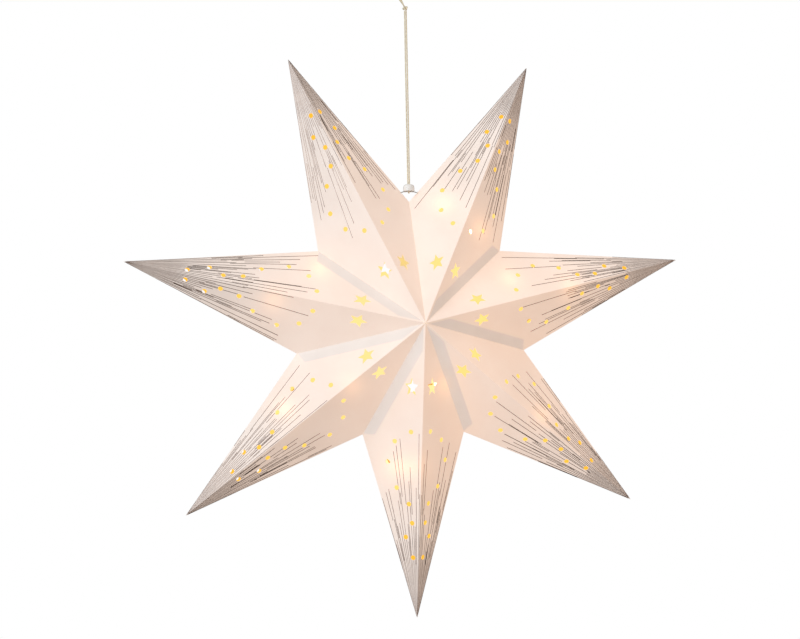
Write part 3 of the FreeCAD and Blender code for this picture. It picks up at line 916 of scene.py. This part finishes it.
def route_line(points):
    """Points read along the smooth line that a route's points steer."""
    curve = bpy.data.curves.new("route", "CURVE")
    curve.dimensions = "3D"
    curve.resolution_u = 16
    spline = curve.splines.new("NURBS")
    spline.points.add(len(points) - 1)
    for target, place in zip(spline.points, points):
        target.co = (*place, 1.0)
    spline.order_u = 3
    spline.use_endpoint_u = True
    carrier = bpy.data.objects.new("route", curve)
    mesh = bpy.data.meshes.new_from_object(carrier)
    line = [vertex.co.copy() for vertex in mesh.vertices]
    bpy.data.objects.remove(carrier)
    bpy.data.curves.remove(curve)
    bpy.data.meshes.remove(mesh)
    return line


def even_line(line, step):
    """The same line at even steps, with its length."""
    lengths = [0.0]
    for a, b in zip(line, line[1:]):
        lengths.append(lengths[-1] + (b - a).length)
    count = max(2, round(lengths[-1] / step))
    places = []
    at = 0
    for i in range(count + 1):
        want = lengths[-1] * i / count
        while at < len(line) - 2 and lengths[at + 1] < want:
            at += 1
        span = max(1e-9, lengths[at + 1] - lengths[at])
        places.append(line[at].lerp(line[at + 1], (want - lengths[at]) / span))
    return places, lengths[-1]


def sides_along(places):
    """Two steady side directions at each place of a line."""
    found = []
    side = None
    for i in range(len(places)):
        heading = (places[min(i + 1, len(places) - 1)] - places[max(i - 1, 0)]).normalized()
        if side is None:
            side = heading.orthogonal().normalized()
        side = (side - heading * side.dot(heading)).normalized()
        found.append((side, heading.cross(side)))
    return found


PLY_RADIUS = {2: 0.25, 3: 0.262}  # for each number of plies, as a share of the cord's diameter


class Strands:
    """Round strands gathered into one mesh."""

    def __init__(self, sides=8):
        self.sides = sides
        self.verts = []
        self.faces = []

    def tube(self, places, radii):
        """A tube through the places, closed at both ends."""
        first = len(self.verts)
        for place, (side, other), radius in zip(places, sides_along(places), radii):
            self.verts += [place + around(side, other, turn) * radius for turn in turns(self.sides)]
        last = len(self.verts) - self.sides
        self.faces += ring_faces(first, len(places), self.sides)
        self.faces += [tuple(range(end, end + self.sides)) for end in (first, last)]

    def twist(self, line, diameter, plies, turn_length, steps_per_turn=12, slim_end=1.0):
        """Plies wound round a line. slim_end narrows the far end of each ply."""
        places, length = even_line(line, turn_length / steps_per_turn)
        radius = diameter * PLY_RADIUS[plies]
        reach = diameter / 2 - radius
        for ply in range(plies):
            centres = []
            radii = []
            for i, (place, (side, other)) in enumerate(zip(places, sides_along(places))):
                turn = 2 * math.pi * (length * i / (len(places) - 1) / turn_length + ply / plies)
                centres.append(place + around(side, other, turn) * reach)
                radii.append(radius * (1 - (1 - slim_end) * (i / (len(places) - 1)) ** 3))
            self.tube(centres, radii)
        return places

    def piece(self, name, material):
        return new_piece(name, self.verts, self.faces, [material], smooth=True)


CORD_TURN = 4.2 * MM
KNOT_RADIUS = 2.9 * MM
KNOT_LEAN = -24
KNOT_PASSES = ((0.0, 0.80), (0.35, 0.62))  # start and size of each pass
FIBRE_COUNT = 16
FIBRE_RADIUS = 0.05 * MM
FIBRE_LENGTH = (1.6, 3.4)
FIBRE_SPREAD = 0.35
cap_low, cap_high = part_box("hanger_cap")
loop_low, loop_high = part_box("cap_loop")
loop_centre = (loop_low + loop_high) / 2
strand_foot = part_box("hanging_cord_left")[0].z
strand_top = KNOT_HEIGHT - KNOT_RADIUS * 0.9


def strand_route(side):
    """One strand from inside the cap up to the knot, bowed out slightly on its way."""
    rise = strand_top - strand_foot
    return [
        Vector((side * (STRAND_OFFSET + out * MM), side * back * MM, strand_foot + rise * share))
        for out, back, share in ((0, 0, 0), (0.15, 0.15, 0.34), (0.05, -0.15, 0.70), (0, 0, 1))
    ]


def tail_route(side):
    """A cut end above the knot, leaning to the left."""
    foot = Vector(((-1.2 + side * 0.5) * MM, side * STRAND_OFFSET, KNOT_HEIGHT + KNOT_RADIUS * 0.7))
    lean = 1.0 + 0.25 * side
    rise = 20.0
    steps = (
        (0, 0, 0),
        (-3.4 * lean, 0.3 * side, rise * 0.33),
        (-8.6 * lean, 0.9 * side, rise * 0.64),
        (-14.6 * lean, 1.2 * side, rise * (0.88 + 0.06 * side)),
    )
    return [foot + Vector(step) * MM for step in steps]


def cut_tail(name, side):
    """A tail whose plies loosen into fine fibres at the cut."""
    strands = Strands()
    line = route_line(tail_route(side))
    places = strands.twist(line, CORD_DIAMETER, 3, CORD_TURN, slim_end=0.85)
    draw = random.Random(7 + side)
    heading = (places[-1] - places[-4]).normalized()
    for _ in range(FIBRE_COUNT):
        spread = Vector([draw.uniform(-1, 1) for _ in range(3)])
        start = places[-3] + spread * FIBRE_SPREAD * MM
        length = draw.uniform(*FIBRE_LENGTH) * MM
        bend = (heading + spread * FIBRE_SPREAD).normalized()
        fibre = [start, start + heading * length * 0.5 + spread * 0.2 * MM, start + bend * length]
        line = even_line(fibre, length / 6)[0]
        strands.tube(line, [FIBRE_RADIUS] * len(line))
    return strands.piece(name, thread)


def knot():
    """A small tight knot of the doubled cord, wider than it is high and leaning to the left."""
    strands = Strands()
    steps = 90
    middle = Vector((0, 0, KNOT_HEIGHT))
    lean = Matrix.Rotation(math.radians(KNOT_LEAN), 3, "Y")
    for shift, size in KNOT_PASSES:
        line = []
        for i in range(steps + 1):
            t = 2 * math.pi * i / steps + shift
            x = math.sin(t) + 2 * math.sin(2 * t)
            y = shift * 1.6 - math.sin(3 * t) * 1.3
            z = (math.cos(t) - 2 * math.cos(2 * t)) * 0.78
            line.append(middle + lean @ Vector((x, y, z)) * size * MM)
        strands.twist(line, CORD_DIAMETER, 3, CORD_TURN)
    return strands.piece("cord_knot", thread)


def loop_over_wire():
    """The cord's lower end, round the hanger wire inside the cap."""
    radius = (loop_high.z - loop_low.z) / 2 - CORD_DIAMETER / 2
    back, up = Vector((0, 1, 0)), Vector((0, 0, 1))
    line = [loop_centre + around(back, up, turn) * radius for turn in turns(40)]
    strands = Strands()
    strands.twist(line + line[:1], CORD_DIAMETER * 0.96, 3, math.pi * radius)
    return strands.piece("cord_under_cap", thread)


def lathe(name, profile, foot, material):
    """Turns a closed outline of (radius, height) places about a vertical axis through foot."""
    steps = 64
    verts = []
    for radius, height in profile:
        for turn in turns(steps):
            verts.append(foot + Vector((radius * math.cos(turn), radius * math.sin(turn), height)))
    faces = ring_faces(0, len(profile), steps, closed=True)
    return new_piece(name, verts, faces, [material], smooth=True)


def cap_shell():
    """The small domed cap, with a rounded lip and a soft rim round the cord's hole."""
    radius = (cap_high.x - cap_low.x) / 2
    height = cap_high.z - cap_low.z
    wall = 1.2 * MM
    bore = STRAND_OFFSET + CORD_DIAMETER / 2 + 0.15 * MM
    soft = 0.35 * MM
    bore_depth = 1.6 * MM
    roof = 1.9 * MM
    quarter = [math.pi / 2 * i / 4 for i in range(5)]
    lip = [(soft * (1 - math.cos(turn)), soft * (1 - math.sin(turn))) for turn in quarter]
    profile = [(radius - wall + x, y) for x, y in lip] + [(radius - y, x) for x, y in lip]
    shoulder = height * 0.40
    for i in range(13):
        turn = math.pi / 2 * i / 12
        reach = (radius - bore - soft) * math.cos(turn) ** 0.7
        profile.append((bore + soft + reach, shoulder + (height - shoulder) * math.sin(turn) ** 0.9))
    profile += [(bore + y, height - x) for x, y in lip[1:]]
    profile += [(bore, height - bore_depth), (bore + 0.3 * MM, height - roof)]
    profile += [(radius * 0.62, height - roof), (radius - wall, height * 0.5)]
    return lathe("cap_shell", profile, Vector((0, 0, cap_low.z)), white_gloss)


def light_bead(index, lamp, heading):
    """A clear drop of resin round the wire, with a short neck at each end."""
    strands = Strands(20)
    steps = 18
    shares = [-1 + 2 * i / steps for i in range(steps + 1)]
    places = [lamp + heading * (share * BEAD_LENGTH / 2) for share in shares]
    swell = [BEAD_RADIUS * (1 - abs(share) ** 2.6) ** 0.55 for share in shares]
    strands.tube(places, [max(WIRE_DIAMETER * 0.56, radius) for radius in swell])
    return strands.piece(f"light_bead_{index}", lit_drop)


# ---- putting the star together


def stand_in(piece, body, node=None):
    """A new piece rides on a body and may stand for a CAD node, which it hides."""
    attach(piece, body)
    if node:
        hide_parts(node)
    return piece


def fold_with_fan(piece, number, node=None):
    """A card piece rides on its point's body, or the star's core for the first point, with a mesh of its
    own.
    """
    stand_in(piece, "star_core" if number == 1 else f"point_{number}", node)
    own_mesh(piece)


for number in range(1, POINT_COUNT + 1):
    fold_with_fan(card_point(number), number, f"paper_point_{number}")
    fold_with_fan(foil_rays(number), number)

for number in range(1, POINT_COUNT):
    fold_with_fan(glue_flap(number), number, f"glue_flap_{number}")

fold_with_fan(closing_tabs(), POINT_COUNT, "closing_tabs")
fold_with_fan(closure_dots("hook_pads", 2.0), POINT_COUNT, "hook_dots")
fold_with_fan(closure_dots("loop_pads", 1.0), 1, "loop_dots")

cord_knot = stand_in(knot(), "cord", "top_knot")
for name, side in (("left", -1), ("right", 1)):
    strands = Strands()
    strand_line = route_line(strand_route(side))
    strand_path = strands.twist(strand_line, CORD_DIAMETER, 3, CORD_TURN)
    strand = strands.piece(f"cord_{name}", thread)
    tail = cut_tail(f"cord_tail_{name}", side)
    for piece in (strand, tail):
        stand_in(piece, "cord", f"hanging_cord_{name}")

stand_in(loop_over_wire(), "cap", "cap_loop")
stand_in(cap_shell(), "cap", "hanger_cap")

# The light set hangs in a bunch beside its case while the star is folded.
WIRE_TURN = 9.0 * MM


def bunch_up(piece, node):
    """A piece of the light set rides on the star's core with a mesh of its own."""
    stand_in(piece, "star_core", node)
    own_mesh(piece)
    return piece


for index, (run, lamp) in enumerate(zip(LIT_RUNS, lamps), start=1):
    bead = light_bead(index, lamp, (route[run + 1] - route[run]).normalized())
    bunch_up(bead, "light_beads")

wire = Strands(6)
wire_path = wire.twist(route_line(route), WIRE_DIAMETER, 2, WIRE_TURN, 10)
light_string = bunch_up(wire.piece("light_string", wire_skin), "light_wire")

NODE_LOOKS = (
    (bright_steel, ("hanger_wire",)),
    (case_satin, ("battery_case", "case_eye", "battery_cover", "wire_gland")),
    (switch_black, ("switch_slider",)),
    (cell_print, ("battery_cell_1", "battery_cell_2", "battery_cell_3")),
    (nickel, ("contact_plates", "contact_springs")),
    (board_look(), ("timer_board",)),
)
for material, nodes in NODE_LOOKS:
    for node in nodes:
        for place in frame["nodes"][node].material_slots:
            place.material = material

# ---- floor, light and backdrop

FLOOR_Z = -1.45
FLOOR_RADIUS = 4.0
ROOM_STOPS = ((0.0, (0.37, 0.42, 0.45)), (1.0, (0.64, 0.52, 0.44)))
ROOM_STRENGTH = 1.12
WINDOW_HEADING = (-0.86, -0.46, 0.12)
WINDOW_STRENGTH = 2.4
WINDOW_STOPS = (
    (0.60, (0.03, 0.024, 0.02)),
    (0.80, (0.10, 0.09, 0.085)),
    (0.93, (0.42, 0.53, 0.60)),
    (0.99, (0.84, 1.10, 1.25)),
)


def make_floor():
    """A plain pale floor far below the star, fading out towards its edge."""
    steps = 96
    rings = (0.4, 0.7, 1.0)
    verts = [Vector((0, 0, FLOOR_Z))]
    for ring in rings:
        edge = ring * FLOOR_RADIUS
        verts += [Vector((edge * math.cos(t), edge * math.sin(t), FLOOR_Z)) for t in turns(steps)]
    faces = [(0, 1 + i, 1 + (i + 1) % steps) for i in range(steps)]
    faces += ring_faces(1, len(rings), steps)
    floor = new_piece("floor", verts, faces, [])
    look = Look("pale_floor").set(Base_Color=(0.93, 0.93, 0.93, 1), Roughness=0.7)
    share = look.math("DIVIDE", look.distance(Vector((0, 0, 0))), FLOOR_RADIUS)
    look.plug("Alpha", look.ramp(share, ((0.45, (1.0, 1.0, 1.0)), (0.98, (0.0, 0.0, 0.0)))))
    floor.data.materials.append(look.material)
    floor.visible_glossy = False
    floor.visible_diffuse = False


def sun(name, direction, strength, spread):
    """A broad soft light that shines from a direction."""
    light = bpy.data.lights.new(name, "SUN")
    light.energy = strength
    light.angle = math.radians(spread)
    lamp = bpy.data.objects.new(name, light)
    lamp.rotation_euler = Vector(direction).to_track_quat("Z", "Y").to_euler()
    lamp.visible_glossy = False
    bpy.context.scene.collection.objects.link(lamp)


def world_shade(nodes, links, heading, strength, stops):
    """A colour ramp over how closely a direction of the world follows a heading."""
    place = nodes.new("ShaderNodeTexCoord")
    facing = nodes.new("ShaderNodeVectorMath")
    facing.operation = "DOT_PRODUCT"
    facing.inputs[1].default_value = Vector(heading).normalized()
    half = nodes.new("ShaderNodeMath")
    half.operation = "MULTIPLY_ADD"
    half.inputs[1].default_value = 0.5
    half.inputs[2].default_value = 0.5
    ramp = nodes.new("ShaderNodeValToRGB")
    fill_ramp(ramp, stops)
    links.new(place.outputs["Generated"], facing.inputs[0])
    links.new(facing.outputs["Value"], half.inputs[0])
    links.new(half.outputs[0], ramp.inputs["Fac"])
    shade = nodes.new("ShaderNodeBackground")
    shade.inputs["Strength"].default_value = strength
    links.new(ramp.outputs["Color"], shade.inputs["Color"])
    return shade.outputs[0]


def mixed(nodes, links, share, first, second):
    """The first shader, giving way to the second as share rises."""
    mix = nodes.new("ShaderNodeMixShader")
    for socket, output in zip(mix.inputs, (share, first, second)):
        links.new(output, socket)
    return mix.outputs[0]


def make_world():
    """A white backdrop, in a room with a wide window at the left and a warm right side."""
    world = bpy.data.worlds.new("room")
    world.use_nodes = True
    nodes, links = world.node_tree.nodes, world.node_tree.links
    nodes["Background"].inputs["Color"].default_value = (1, 1, 1, 1)
    seen = nodes["Background"].outputs[0]
    room = world_shade(nodes, links, (1, 0, 0), ROOM_STRENGTH, ROOM_STOPS)
    window = world_shade(nodes, links, WINDOW_HEADING, WINDOW_STRENGTH, WINDOW_STOPS)
    rays = nodes.new("ShaderNodeLightPath")
    light = mixed(nodes, links, rays.outputs["Is Glossy Ray"], room, window)
    sky = mixed(nodes, links, rays.outputs["Is Camera Ray"], light, seen)
    links.new(sky, nodes["World Output"].inputs["Surface"])
    bpy.context.scene.world = world


make_floor()
make_world()
sun("key", (-0.66, -0.62, 0.46), 1.27, 50)
sun("back_fill", (0.45, 0.85, 0.35), 0.75, 60)
bpy.context.scene.view_settings.view_transform = "Standard"
